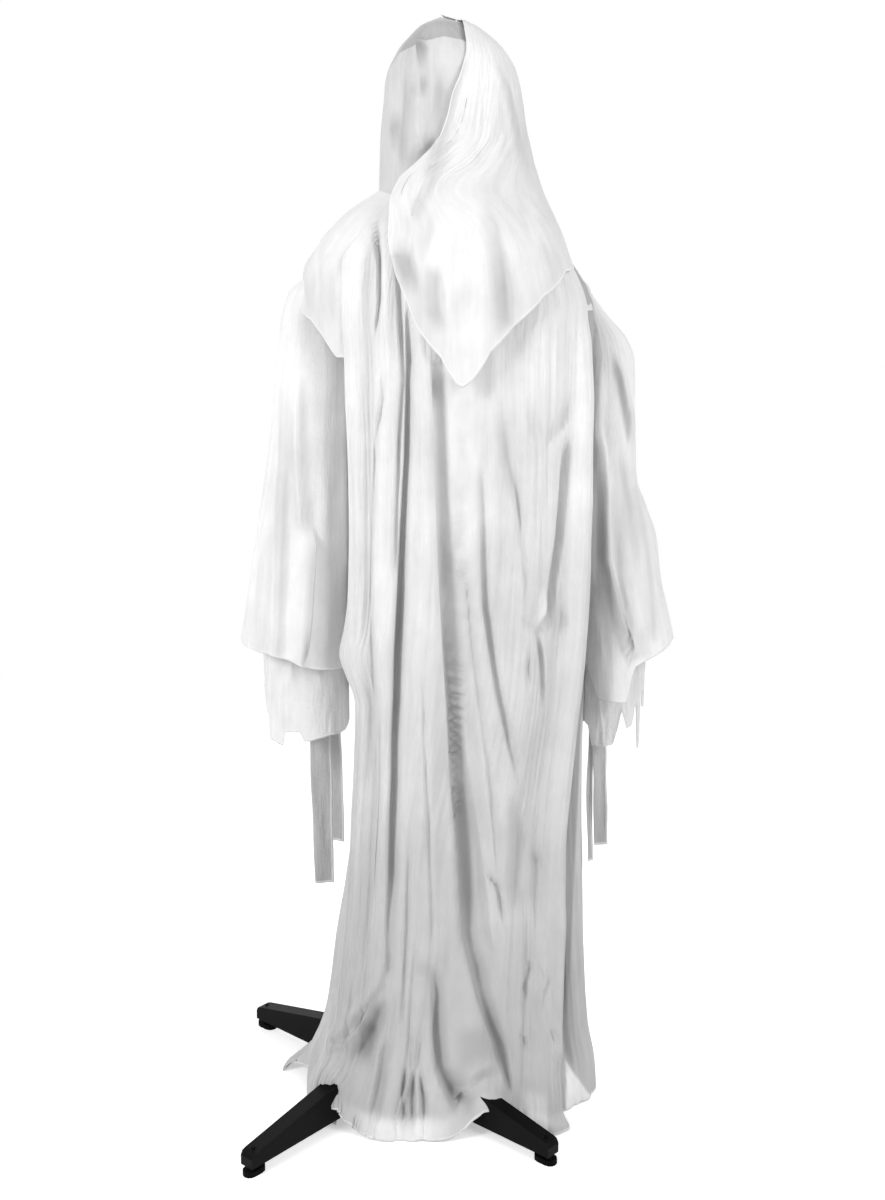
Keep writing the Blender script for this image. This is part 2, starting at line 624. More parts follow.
# %% Robe back
BACK_LEFT = [[0, 288], [35, 284], [90, 262], [160, 246], [300, 228], [430, 214], [600, 203], [700, 197],
             [815, 193], [860, 203], [905, 214], [950, 206], [1013, 200], [1200, 196], [1423, 197],
             [1500, 200], [1580, 198], [1640, 158], [1680, 104], [1694, 84]]
BACK_RIGHT = [[0, 272], [70, 268], [150, 256], [300, 248], [430, 243], [690, 236], [985, 238],
              [1200, 240], [1464, 244], [1520, 236], [1560, 214], [1600, 184], [1640, 140], [1680, 100],
              [1694, 84]]
BACK_DEPTH = [[0, 176], [60, 172], [150, 160], [300, 150], [600, 138], [985, 132], [1200, 132],
              [1420, 138], [1526, 140], [1581, 136], [1640, 120], [1680, 92], [1694, 76]]
BACK_CREASES = [
    (9, 8, [(82, 1530, 6), (81, 1420, 30), (86, 1255, 28), (94, 1135, 28), (99, 1047, 32), (105, 941, 32),
            (110, 832, 28), (114, 760, 25), (115, 684, 24), (119, 600, 24), (121, 500, 20), (124, 425, 10),
            (126, 278, 8)]),
    (12, 10, [(36, 1430, 20), (32, 1322, 22), (29, 1220, 23), (25, 1116, 25), (20, 1011, 28), (14, 903, 29),
              (7, 793, 28), (2, 681, 27), (-8, 556, 27), (-14, 460, 27), (-19, 382, 22), (-44, 272, 14),
              (-72, 171, 11), (-88, 69, 8)]),
    (22, 0, [(10, 1250, 0), (0, 1000, 8), (-12, 793, 16), (-22, 600, 20), (-34, 440, 14), (-60, 260, 4)]),
    (30, 0, [(60, 1600, -4), (58, 1400, -16), (60, 1047, -18), (60, 832, -18), (62, 560, -16),
             (62, 300, -10)]),
    (14, 0, [(147, 1640, 8), (151, 1521, 12), (160, 1356, 12), (163, 1187, 13), (166, 1013, 14),
             (159, 833, 14), (157, 647, 14), (172, 465, 12), (198, 281, 8)]),
    (5, 3, [(142, 1680, 10), (136, 1585, 18), (136, 1521, 16), (145, 1440, 6)]),
    (5, 2, [(131, 1420, 3), (131, 1356, 8), (143, 1289, 8), (152, 1153, 9), (158, 1013, 7), (150, 800, 4)]),
    (5, 3, [(103, 1600, 8), (99, 1472, 13), (97, 1389, 13), (104, 1289, 12), (110, 1152, 10),
            (114, 1040, 8)]),
    (80, 0, [(-110, 1500, 0), (-120, 1250, 12), (-120, 1000, 16), (-120, 700, 12), (-120, 400, 6)]),
    (6, 3, [(-3, 1340, 3), (-4, 1185, 8), (-6, 1081, 9), (-17, 1010, 9), (-26, 920, 8), (-38, 829, 8),
            (-53, 717, 7), (-67, 585, 6), (-74, 480, 4)]),
    (7, 5, [(-39, 1250, 4), (-44, 1080, 13), (-48, 992, 16), (-59, 920, 16), (-74, 828, 14), (-92, 754, 12),
            (-111, 670, 8)]),
    (9, 0, [(-75, 1340, 4), (-80, 1253, 9), (-102, 1184, 8), (-120, 1100, 4)]),
    (12, 0, [(-110, 1370, 3), (-135, 1287, 9), (-152, 1262, 12)]),
    (12, 0, [(-200, 1375, 3), (-172, 1304, 10), (-152, 1262, 12)]),
    (8, 4, [(-196, 1300, 5), (-190, 1235, 17), (-182, 1114, 18), (-167, 1008, 16), (-157, 930, 6)]),
    (13, 0, [(-214, 1500, -4), (-215, 1354, -18), (-217, 1183, -22), (-214, 1007, -24), (-205, 826, -26),
             (-191, 677, -28), (-181, 551, -28), (-182, 416, -26), (-182, 268, -20), (-187, 106, -12)]),
    (9, 5, [(-133, 1010, 3), (-140, 985, 12), (-150, 962, 15), (-168, 950, 4)]),
    (8, 0, [(-156, 1040, -3), (-151, 1000, -12), (-147, 976, -20), (-141, 955, -12), (-138, 930, -3)]),
    (12, 6, [(-112, 984, 4), (-122, 968, 16), (-134, 950, 18), (-142, 925, 5)]),
    (5, 3, [(-138, 962, 4), (-150, 900, 12), (-154, 840, 9), (-152, 790, 3)]),
    (5, -3, [(-128, 940, 3), (-122, 880, 9), (-126, 820, 4)]),
    (6, 3, [(24, 1060, -2), (10, 940, -6), (-6, 820, -7), (-30, 640, -7), (-52, 480, -6), (-66, 340, -4)]),
    (14, 0, [(-96, 660, 4), (-112, 560, 12), (-104, 470, 10), (-122, 400, 5)]),
    (10, 0, [(-136, 560, 3), (-150, 500, 10), (-148, 430, 8), (-156, 370, 3)]),
    (4, 2, [(182, 1360, 2), (184, 1200, 5), (186, 1000, 5), (182, 880, 3)]),
    (4, 2, [(64, 900, 2), (60, 700, 6), (52, 500, 6), (50, 360, 3)]),
    (4, -2, [(92, 560, 2), (96, 420, 7), (104, 300, 8), (112, 190, 4)]),
    (3, 2, [(140, 860, 2), (142, 700, 5), (150, 560, 6), (158, 440, 4)]),
    (5, 0, [(-100, 1240, 2), (-108, 1130, 6), (-118, 1040, 6), (-122, 980, 2)]),
    (12, 0, [(128, 400, 0), (156, 289, -10), (202, 221, -12), (249, 143, -12), (277, 80, -8)]),
    (15, 0, [(138, 270, 6), (157, 220, 18), (181, 160, 20), (213, 100, 14)]),
    (9, 0, [(133, 199, 6), (149, 98, 16), (168, 0, 14)]),
    (12, 4, [(43, 340, 5), (38, 195, 20), (33, 124, 26), (11, 73, 30), (-27, 0, 30)]),
    (30, 0, [(-26, 240, 0), (-31, 170, -16), (-34, 130, -20), (-40, 60, -10)]),
    (7, 3, [(-36, 350, 4), (-62, 232, 10), (-81, 151, 14), (-95, 30, 14)]),
    (4, 0, [(103, 150, 6), (109, 0, 12)]),
    (4, 0, [(88, 170, 6), (90, 0, 12)]),
    (4, 0, [(75, 150, 6), (68, 0, 12)]),
    (5, 3, [(-41, 527, 4), (-57, 492, 9), (-71, 475, 9), (-77, 435, 9), (-89, 383, 4)]),
    (5, 2, [(-115, 353, 3), (-133, 317, 8), (-123, 277, 8), (-130, 223, 3)]),
    (4, 2, [(-142, 346, -3), (-160, 299, -7), (-151, 270, -7), (-144, 199, -3)]),
    (4, 3, [(-157, 222, 3), (-171, 186, 8), (-185, 143, 3)]),
    (5, 0, [(-109, 200, 4), (-122, 164, 9), (-131, 133, 4)]),
    (6, 0, [(-134, 541, 4), (-150, 512, 10), (-169, 489, 4)]),
    (4, 3, [(43, 323, 3), (35, 264, 8), (43, 182, 8), (33, 98, 3)]),
    (5, 0, [(79, 123, 4), (66, 69, 10), (64, 8, 4)]),
    (4, 3, [(89, 231, -3), (81, 183, -7), (87, 130, -7), (106, 70, -7), (137, -1, -3)]),
    (4, 3, [(148, 286, -2), (181, 211, -6), (225, 141, -6), (275, 89, -2)]),
    (14, 0, [(181, 234, 4), (173, 187, 9), (171, 139, 4)]),
]
print("the back has", len(BACK_CREASES), "creases")

# %% [markdown]
# ## The two panels' common form
# Both panels of the robe come from one function. It places the rows, lays the panel on its ring, adds
# random waves that grow as the shoulders let the cloth go, and then presses the named creases in.

# %% Helpers for the robe
ROWS, COLUMNS = 216, 226
ROBE_TOP = 1694.0
CROWDED = 26.0                       # how far rows move together near the floor and the shoulders
HELD_ABOVE, FREE_BELOW = 1660, 1300  # the shoulders hold the cloth down to here, and let it go there
SWAY = (3.0, 7.0, 10.0)              # the waves' size everywhere, added where it is free, and at the floor
BROAD, PLEATED = 0.7, 0.42           # how much of a wave is broad and how much is pleats
CRINKLE, FINE_PLEAT = 0.7, 2.4       # the small creases' size, in mm
CALM = 0.85                          # how much of the small creases is lost in a named one
ARM_ROOM = 0.75                      # how much of the waves is lost at the sides, beside the sleeves
DEEPEST = 60.0                       # the depth from which a fold is as grey as it gets
HOLLOW_GREY = 0.22                   # how grey the hollow of a wave is
LEVEL = np.array([1.0, 1.0, 0.0])    # keeps a move level
HEM_CLEAR, HEM_WAVE = 3.0, 3.0       # the hem's height over the floor and its unevenness
LEG_RISE = 52.0                      # how much higher it lies over a leg of the stand
HEM_REACH = 260                      # the cloth below this height follows its hem


def robe_heights(rows, top):
    """Row heights, closer together near the floor and at the shoulders."""
    part = np.linspace(0.0, 1.0, rows)
    return top * (1.0 - part) + CROWDED * np.sin(2 * np.pi * part)


def in_folds(depth_in, wave, most=DEEPEST):
    """How deep in a fold each point lies: the named creases and the hollows of the waves."""
    return np.clip(depth_in / most, 0.0, 1.0) ** 0.8 + HOLLOW_GREY * np.clip(-wave, 0.0, 1.0)


def turn_of(x, side, square):
    """The angle, on the back half of a ring, of a point x to one side of the spine."""
    ratio = np.clip(np.abs(x) / side, 0.0, 1.0) ** (1.0 / square)
    return np.where(x > 0, np.arccos(ratio), np.pi - np.arccos(ratio))


def robe_grid(turn_from, turn_to, left, right, front, back, creases, seed, square):
    """A panel of the robe between two angles, which may be functions of the height. back may be one of
    height and angle, and square one of the angle."""
    across, down = np.meshgrid(np.linspace(0, 1, COLUMNS), np.linspace(0, 1, ROWS))
    z = np.repeat(robe_heights(ROWS, ROBE_TOP)[:, None], COLUMNS, axis=1)
    first, last = (edge(z) if callable(edge) else edge for edge in (turn_from, turn_to))
    turn = first + (last - first) * across
    sizes = [between(table, z) for table in (left, right, front)]
    deep = back(z, turn) if callable(back) else between(back, z)
    x, y = ring(turn, *sizes, deep, square(turn) if callable(square) else square)
    grid = np.stack([x, y, z], axis=2)
    free = eased(-z, -HELD_ABOVE, -FREE_BELOW)
    loose = SWAY[0] + SWAY[1] * free + SWAY[2] * eased(-z, -500, 0)
    depth_in, lean = crease(x, z, creases)
    calm = 1.0 - CALM * np.clip(depth_in / 20.0, 0.0, 1.0)
    wave = BROAD * ripple(across, down, 13, 3, seed) + PLEATED * pleats(across, down, 34, 4, seed + 1)
    small = CRINKLE * ripple(across, down, 70, 30, seed + 2) * (0.4 + free)
    small = small + FINE_PLEAT * free * (pleats(across, down, 74, 5, seed + 3) - 0.4)
    out = outward(grid, -1.0)
    at_side = eased(np.abs(x) / np.maximum(np.abs(x).max(axis=1, keepdims=True), 1.0), 0.86, 0.98)
    loose = loose * (1.0 - ARM_ROOM * at_side * eased(z, 760, 900))
    grid = grid + out * (loose * (wave - 0.35) + small * calm - depth_in)[..., None]
    grid[..., 0] += lean
    return grid, in_folds(depth_in, wave - 0.1), across, down, z


def hem_rise(grid, across, down, crossings, seed, where=1.0):
    """How far the hem is raised: a little all round, and more over each leg, as (x, width)."""
    rise = HEM_CLEAR + HEM_WAVE * ripple(across, down, 24, 1, seed)
    for centre, half in crossings:
        rise = rise + LEG_RISE * np.exp(-((grid[..., 0] - centre) / half) ** 2) * where
    return rise


print("each panel has", ROWS, "rows of", COLUMNS, "points")

# %% [markdown]
# ## Laying out the back
# The back's left edge stands a little proud of the ring, over the front panel. Its right edge follows
# a table, so that it rolls into the long ridge. At the foot the hem is lifted over two legs and flares
# a little, and a few soft marks set where the grey wash gathers or is missing.

# %% Robe back, shaped
BACK_FROM = np.radians(28)
BACK_SQUARE = 0.62
BACK_LEGS = ((250, 46), (-52, 46))
FLARE, FLARE_BELOW = 14.0, 34
# Each mark is its x and height, its half width and half height, and its tone.
FOOT_TONES = ((-26, 168, 34, 44, 0.7), (172, 168, 14, 40, 0.6), (96, 62, 14, 44, 0.6),
              (10, 90, 16, 40, 0.5), (112, 12, 80, 26, -0.8), (-140, 30, 26, 40, -0.7))
EDGE_LEFT = [[height, 1.075 * side] for height, side in BACK_LEFT]
EDGE_RIGHT = [[0, -190], [106, -187], [268, -183], [416, -184], [551, -185], [677, -195], [826, -209],
              [1007, -217], [1183, -220], [1354, -220], [1500, -218], [1560, -200], [1600, -172],
              [1640, -128], [1680, -92], [1694, -78]]


def right_edge(z):
    """The angle of the back panel's free right edge, where it rolls into a long ridge."""
    return turn_of(between(EDGE_RIGHT, z), between(BACK_RIGHT, z), BACK_SQUARE)


back_grid, back_fold, across, down, z = robe_grid(
    BACK_FROM, right_edge, EDGE_LEFT, BACK_RIGHT, BACK_DEPTH, BACK_DEPTH, BACK_CREASES, 11, BACK_SQUARE)
rise = hem_rise(back_grid, across, down, BACK_LEGS, 5)
back_grid[..., 2] = z + rise * eased(-z, -HEM_REACH, 0)
spread = eased(-z, -FLARE_BELOW, 0) * FLARE
back_grid += outward(back_grid, -1.0) * spread[..., None] * LEVEL
for x_at, z_at, wide, high, tone in FOOT_TONES:
    back_fold += tone * np.exp(-((back_grid[..., 0] - x_at) / wide) ** 4 - ((z - z_at) / high) ** 4)
robe_back = cloth("robe_back", back_grid, width=1.15, length=1.72, fold=back_fold)
robe_back.data.materials.append(white_gauze)
print("robe back:", len(robe_back.data.polygons), "faces,", round(flat_area(back_grid), 2), "m2")

# %% [markdown]
# ## The robe's front
# The front is the other panel of the same robe. It starts deep under the back panel at the right, runs
# round the front and ends under the back panel's left edge, where it turns a squarer corner to pass
# round the control box. One corner of its hem lies out on the floor at the left.

# %% Robe front
def turn_from_spine(grid):
    """The angle of each point round the spine, from 0 at the left through the back."""
    return np.arctan2(grid[..., 1], grid[..., 0]) % (2 * np.pi)


FRONT_DEPTH = [[0, 172], [60, 168], [150, 158], [300, 148], [600, 136], [985, 122], [1200, 118],
               [1420, 122], [1526, 120], [1581, 110], [1640, 92], [1680, 78], [1694, 72]]
FRONT_CREASES = [
    (12, 8, [(70, 1560, 6), (80, 1300, 34), (96, 900, 42), (110, 500, 40), (122, 60, 24)]),
    (12, -8, [(-60, 1560, 6), (-72, 1300, 36), (-84, 900, 44), (-100, 500, 42), (-118, 60, 24)]),
    (10, 4, [(10, 1500, 6), (6, 1200, 26), (0, 800, 34), (-6, 400, 30), (-8, 60, 18)]),
    (12, 0, [(130, 1500, 4), (130, 1100, 12), (134, 600, 12), (180, 60, 12)]),
    (16, 0, [(-140, 1500, 4), (-156, 1100, 18), (-170, 600, 24), (-206, 60, 16)]),
    (26, 0, [(40, 1450, -4), (44, 1000, -14), (50, 500, -16), (56, 60, -10)]),
    (26, 0, [(-34, 1450, -4), (-38, 1000, -14), (-46, 500, -16), (-52, 60, -10)]),
]
FRONT_LEFT = [[0, 288], [35, 284], [90, 262], [160, 246], [300, 228], [430, 206], [600, 182], [700, 179],
              [815, 175], [860, 182], [905, 182], [950, 182], [1013, 182], [1200, 178], [1423, 179],
              [1500, 182], [1580, 180], [1640, 158], [1680, 104], [1694, 84]]
FRONT_FROM, FRONT_TO = np.radians(124), np.radians(410)
FRONT_LEGS = ((258, 46), (-30, 46))
FRONT_SQUARE, SQUARER = 0.7, 0.2                # the ring's power, and how much less it is at the left
UNDER_RIGHT, UNDER_LEFT = 62.0, 26.0            # how deep the ends lie under the back, in mm
UNDER_SHOULDER = 18.0                           # and how deep on the shoulders
SHADOW = 1.3                                    # the grey beside the back's long ridge
CORNER_TURN, CORNER_WIDE = 344, 6               # where a corner of the hem lies on the floor, in degrees
CORNER_REACH = 66.0                             # and how far out it comes, in mm


def under_back(z, turn):
    """The ends of the front panel, close under the back one at the left and deep under it at the right."""
    at_left = eased(np.cos(turn), -0.3, 0.3)
    shoulder = eased(z, 1440, 1560)
    under = UNDER_RIGHT - (UNDER_RIGHT - UNDER_LEFT) * at_left
    return between(BACK_DEPTH, z) - under * (1.0 - shoulder) - UNDER_SHOULDER * shoulder


def squarer_at_left(turn):
    """The front panel turns a squarer corner at the left, where it passes round the control box."""
    return FRONT_SQUARE - SQUARER * eased(np.cos(turn), 0.0, 0.2) * eased(np.sin(turn), 0.0, 0.2)


front_grid, front_fold, across, down, z = robe_grid(
    FRONT_FROM, FRONT_TO, FRONT_LEFT, BACK_RIGHT, FRONT_DEPTH, under_back, FRONT_CREASES, 41,
    squarer_at_left)
x, behind = front_grid[..., 0], eased(front_grid[..., 1], 0, 30)
beside_ridge = eased(-x, 176, 190) * eased(x + 0.037 * z, -210, -202)
front_fold += SHADOW * behind * beside_ridge * eased(z, 130, 330)
clean = eased(-x, 205, 208) * eased(436 + 1.64 * x - z, 0, 8)
front_fold -= behind * clean
rise = hem_rise(front_grid, across, down, FRONT_LEGS, 6, where=front_grid[..., 1] < 20)
corner = np.exp(-((np.degrees(turn_from_spine(front_grid)) - CORNER_TURN) / CORNER_WIDE) ** 2)
front_grid[..., 2] = z + rise * (1.0 - corner) * eased(-z, -HEM_REACH, 0)
spread = CORNER_REACH * corner * eased(-z, -70, 0) ** 1.6
front_grid += outward(front_grid, -1.0) * spread[..., None] * LEVEL
robe_front = cloth("robe_front", front_grid, width=1.4, length=1.72, fold=front_fold)
robe_front.data.materials.append(white_gauze)
print("robe front:", len(robe_front.data.polygons), "faces,", round(flat_area(front_grid), 2), "m2")

# %% [markdown]
# ## Hanging the robe
# The robe hangs from the shoulders, which turn at the waist, while its foot rests on the stand. So it
# follows the stand below 0.30 metres and the torso above 1.25, and twists smoothly between them.

# %% Joining the robe to the frame
for piece in (robe_back, robe_front):
    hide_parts("skirt", "robe_upper")
    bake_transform(piece)
print("the robe stands for the skirt and the upper robe")

# %% [markdown]
# ## The hood
# Under the veil a close hood covers the head. It is one piece with its edges parted round the face
# and joined above it. Rows run down from the crown, and the rings widen quickly at first, so the
# rows are spaced by a power of the way down.

# %% Hood
HEAD_CENTRE = [[1690, 0], [1888, 3], [1950, 16], [1981, 26]]
HOOD_LEFT = [[1680, 133], [1709, 131], [1800, 124], [1888, 113], [1925, 90], [1950, 62], [1968, 36],
             [1981, 0]]
HOOD_RIGHT = [[1680, 126], [1800, 114], [1888, 100], [1925, 86], [1950, 66], [1968, 42], [1981, 0]]
HOOD_BACK = [[1680, 110], [1800, 119], [1888, 112], [1925, 92], [1950, 66], [1968, 42], [1981, 0]]
HOOD_FRONT = [[1680, 112], [1800, 122], [1888, 117], [1925, 98], [1950, 70], [1968, 44], [1981, 0]]
CROWN_SEAM = [[-60, 1914], [-30, 1925], [-7, 1935], [25, 1942], [58, 1934], [98, 1919], [114, 1893]]
HOOD_CREASES = [
    (6, 2, [(64, 1955, 6), (62, 1915, 24), (62, 1880, 8)]),
    (5, 2, [(60, 1890, 6), (60, 1862, 24), (62, 1835, 6)]),
    (9, 0, [(106, 1840, 3), (104, 1800, 9), (106, 1750, 6)]),
    (12, 0, [(70, 1800, 4), (58, 1775, 12), (84, 1735, 14)]),
    (7, 0, [(86, 1900, 3), (84, 1840, 7), (90, 1780, 7), (100, 1720, 4)]),
    (6, 0, [(34, 1900, 2), (36, 1850, 5), (44, 1800, 7)]),
]


HOOD_TOP, HOOD_FOOT = 1981.0, 1684.0
HOOD_ROWS, HOOD_COLUMNS = 130, 190
DOME_SQUARE = 0.85       # the power of the rings round the head
DOME_ROWS = 1.7          # the power that moves the rows together at the crown
FACE_OPEN = 27.0         # half the angle that stays open for the face
BAND, WAVE, CREASING = 3.0, 3.5, 1.2  # the seam's band, the waves and the small creases, in mm
CROWN_TONE, HOOD_DEEPEST = 0.75, 16.0


def face_gap(z):
    """Half the opening for the face, which closes above it."""
    return np.radians(FACE_OPEN) * (1.0 - eased(z, 1850, 1925))


def above_seam(grid, z):
    """How far each point lies above the seam that crosses the crown."""
    return z - np.interp(grid[..., 0], *np.array(CROWN_SEAM).T)


across, down = np.meshgrid(np.linspace(0, 1, HOOD_COLUMNS), np.linspace(0, 1, HOOD_ROWS))
z = HOOD_TOP - (HOOD_TOP - HOOD_FOOT) * down ** DOME_ROWS
first, last = np.radians(-90) + face_gap(z), np.radians(270) - face_gap(z)
hood_sizes = (between(table, z) for table in (HOOD_LEFT, HOOD_RIGHT, HOOD_FRONT, HOOD_BACK))
x, y = ring(first + (last - first) * across, *hood_sizes, DOME_SQUARE)
hood_grid = np.stack([x + between(HEAD_CENTRE, z), y, z], axis=2)
depth_in, lean = crease(hood_grid[..., 0], z, HOOD_CREASES)
behind = eased(y, 0, 40)
band = eased(above_seam(hood_grid, z), -2, 3) * behind
loose = eased(-z, -1970, -1800)
waves = ripple(across, down, 22, 4, 71)
puff = BAND * band + loose * (WAVE * waves + CREASING * ripple(across, down, 60, 16, 72))
hood_grid += outward(hood_grid, 1.0) * (puff - depth_in * behind)[..., None]
hood_grid[..., 0] += lean * behind
crown = np.where(above_seam(hood_grid, z) > 0, behind, 0.0)
tone = CROWN_TONE * crown + in_folds(depth_in * behind, loose * waves, HOOD_DEEPEST)
hood = cloth("hood", hood_grid, width=0.7, length=0.42, fold=tone)
hood.data.materials.append(hood_gauze)
print("hood:", round(flat_area(hood_grid), 3), "square metres")

# %% [markdown]
# ## The veil and its pointed flap
# The veil starts at a pin on the crown, covers the right side of the head and falls down the back to
# a point. It could be cut as a flat triangle and dropped by a simulation, but its edges are known,
# so the columns run from the crown to that edge and spread between its two free sides.

# %% Veil
VEIL_LEFT_SIDE = [[1300, 262], [1640, 204], [1700, 156], [1800, 133], [1888, 121], [1925, 98], [1950, 68],
                  [1972, 40], [1986, 0]]
VEIL_RIGHT_SIDE = [[1300, 240], [1520, 222], [1572, 202], [1640, 176], [1690, 152], [1793, 120],
                   [1879, 107], [1925, 91], [1950, 72], [1972, 44], [1986, 0]]
VEIL_BACK = [[1300, 160], [1478, 160], [1526, 161], [1581, 156], [1640, 146], [1700, 133], [1793, 127],
             [1879, 118], [1925, 98], [1950, 72], [1972, 44], [1986, 0]]
VEIL_FRONT = [[1300, 160], [1520, 154], [1600, 140], [1690, 122], [1800, 128], [1888, 122], [1925, 103],
              [1950, 76], [1972, 46], [1986, 0]]
VEIL_EDGE = [[1986, -8], [1929, -10], [1886, -3], [1847, 12], [1808, 22], [1780, 33], [1758, 56],
             [1737, 79], [1716, 103], [1681, 117], [1633, 121]]
VEIL_HEM = [(121, 1633), (118, 1600), (109, 1561), (92, 1520), (76, 1478), (36, 1428), (1, 1378),
            (-46, 1436), (-85, 1478), (-135, 1526), (-176, 1566)]
VEIL_FRONT_HEM = [(180, 1574), (205, 1590), (225, 1612), (238, 1640)]
VEIL_CREASES = [
    (9, 3, [(-9, 1925, 4), (2, 1886, 6), (20, 1830, 7), (36, 1773, 7), (48, 1715, 6), (70, 1665, 5),
            (93, 1630, 3)]),
    (16, 0, [(-4, 1900, 2), (8, 1800, -4), (24, 1700, -5), (50, 1600, -5), (34, 1480, -4)]),
    (13, 0, [(96, 1625, 3), (98, 1590, 16), (88, 1555, 12), (78, 1520, 4)]),
    (12, 0, [(52, 1610, 3), (50, 1560, 12), (48, 1510, 10), (40, 1460, 3)]),
    (14, 0, [(-30, 1700, 1), (-52, 1600, 8), (-60, 1546, 13), (-66, 1490, 10), (-60, 1450, 3)]),
    (34, 0, [(-70, 1720, -1), (-108, 1640, -9), (-120, 1580, -4)]),
    (9, 0, [(-52, 1905, 4), (-74, 1850, 7), (-88, 1790, 6), (-100, 1720, 2)]),
    (6, 0, [(-24, 1780, 3), (-22, 1755, 9), (-24, 1735, 3)]),
    (20, 0, [(-4, 1560, -6), (-8, 1440, -7)]),
]
VEIL_TOP, VEIL_CORNER = 1986.0, 1633.0  # the crown, and where the left edge meets the hem
VEIL_RIGHT_TURN = np.radians(238)       # the right edge, in front of the right shoulder
VEIL_ROWS, VEIL_COLUMNS = 150, 196
VEIL_RADIUS = 170                       # turns an angle into a length along the hem, in mm
VEIL_DEEPEST = 22.0
print("the veil falls", VEIL_TOP - min(height for _, height in VEIL_HEM), "mm")

# %% [markdown]
# ## Shaping the veil
# Each column ends at its own place on the hem. A column is set at every corner of the hem, so that the
# point and the corners stay sharp, and the others are spread evenly between them.

# %% Veil, shaped
def veil_square(z):
    """The power of the veil's rings: round over the head and squarer over the shoulders."""
    return DOME_SQUARE - 0.19 * eased(-z, -1720, -1600)


def veil_left_turn(z):
    """The angle of the veil's left edge."""
    x = between(VEIL_EDGE, z) - between(HEAD_CENTRE, z)
    side = np.where(x > 0, between(VEIL_LEFT_SIDE, z), between(VEIL_RIGHT_SIDE, z) + 1e-6)
    return turn_of(x, side, veil_square(z))


hem_x, hem_z = (np.array(side, float) for side in zip(*VEIL_HEM))
hem_side = np.where(hem_x > 0, between(VEIL_LEFT_SIDE, hem_z), between(VEIL_RIGHT_SIDE, hem_z))
back_turn = turn_of(hem_x, hem_side, veil_square(hem_z))
hem_turn = np.concatenate([back_turn, np.radians([turn for turn, _ in VEIL_FRONT_HEM])])
hem_z = np.concatenate([hem_z, [height for _, height in VEIL_FRONT_HEM]])
steps = np.concatenate([[0], np.cumsum(np.hypot(np.diff(hem_turn) * VEIL_RADIUS, np.diff(hem_z)))])
columns = np.sort(np.concatenate([np.linspace(0, 1, VEIL_COLUMNS), steps[1:-1] / steps[-1]]))
hem_z = np.interp(columns, steps / steps[-1], hem_z)
hem_turn = np.interp(columns, steps / steps[-1], hem_turn)
low_turn = veil_left_turn(np.array(VEIL_CORNER))
share = (hem_turn - low_turn) / (VEIL_RIGHT_TURN - low_turn)
down = np.linspace(0, 1, VEIL_ROWS)[:, None] * np.ones(len(columns))
z = VEIL_TOP - (VEIL_TOP - hem_z) * down ** 1.5
left_turn = veil_left_turn(np.maximum(z, VEIL_CORNER))
turn = left_turn + (VEIL_RIGHT_TURN - left_turn) * share
veil_sizes = (between(table, z) for table in (VEIL_LEFT_SIDE, VEIL_RIGHT_SIDE, VEIL_FRONT, VEIL_BACK))
x, y = ring(turn, *veil_sizes, veil_square(z))
veil_grid = np.stack([x + between(HEAD_CENTRE, z), y, z], axis=2)
depth_in, lean = crease(veil_grid[..., 0], z, VEIL_CREASES)
behind = eased(veil_grid[..., 1], 0, 40)
across = np.broadcast_to(columns, z.shape)
loose = eased(-z, -1960, -1750)
wave = loose * (3.0 * ripple(across, down, 15, 3, 81) + 0.9 * ripple(across, down, 60, 26, 82))
veil_grid += outward(veil_grid, 1.0) * (wave - depth_in * behind)[..., None]
veil_grid[..., 0] += lean * behind
veil_fold = in_folds(depth_in * behind, wave / 3, VEIL_DEEPEST)
veil = cloth("veil", veil_grid, width=0.7, length=0.62, fold=veil_fold)
veil.data.materials.append(veil_gauze)
print("veil:", round(flat_area(veil_grid), 3), "square metres")

# %% [markdown]
# ## The shoulder cape
# The cape lies under the robe's back panel and over the tops of the sleeves. Its hem rises over each
# arm, so the foot of every column is read from a table of angles.

# %% Cape
CAPE_LEFT = [[1400, 264], [1497, 267], [1553, 262], [1582, 249], [1617, 230], [1646, 205], [1665, 186],
             [1702, 130], [1716, 112]]
CAPE_RIGHT = [[1400, 250], [1500, 243], [1530, 232], [1556, 214], [1578, 188], [1600, 168], [1640, 140],
              [1690, 108], [1716, 98]]
CAPE_BACK = [[1400, 108], [1526, 110], [1600, 106], [1650, 96], [1690, 84], [1716, 78]]
CAPE_FRONT = [[1400, 146], [1526, 146], [1600, 130], [1650, 106], [1690, 88], [1716, 80]]
CAPE_HEM = [[-90, 1416], [-60, 1420], [-30, 1462], [-8, 1494], [10, 1497], [24, 1486], [33, 1462],
            [42, 1424], [50, 1424], [56, 1470], [66, 1600], [120, 1600], [150, 1500], [172, 1500],
            [190, 1502], [210, 1470], [240, 1420], [270, 1416]]
CAPE_CREASES = [
    (8, 0, [(245, 1620, 2), (252, 1560, 8), (250, 1500, 9)]),
    (10, 0, [(222, 1640, 2), (224, 1560, 9), (222, 1470, 9)]),
    (10, 0, [(-214, 1570, 2), (-226, 1540, 8), (-228, 1500, 8)]),
]
CAPE_TOP = 1716.0
CAPE_ROWS, CAPE_COLUMNS = 90, 300
CAPE_WAVE = 5.0  # the size of its broad waves, in mm

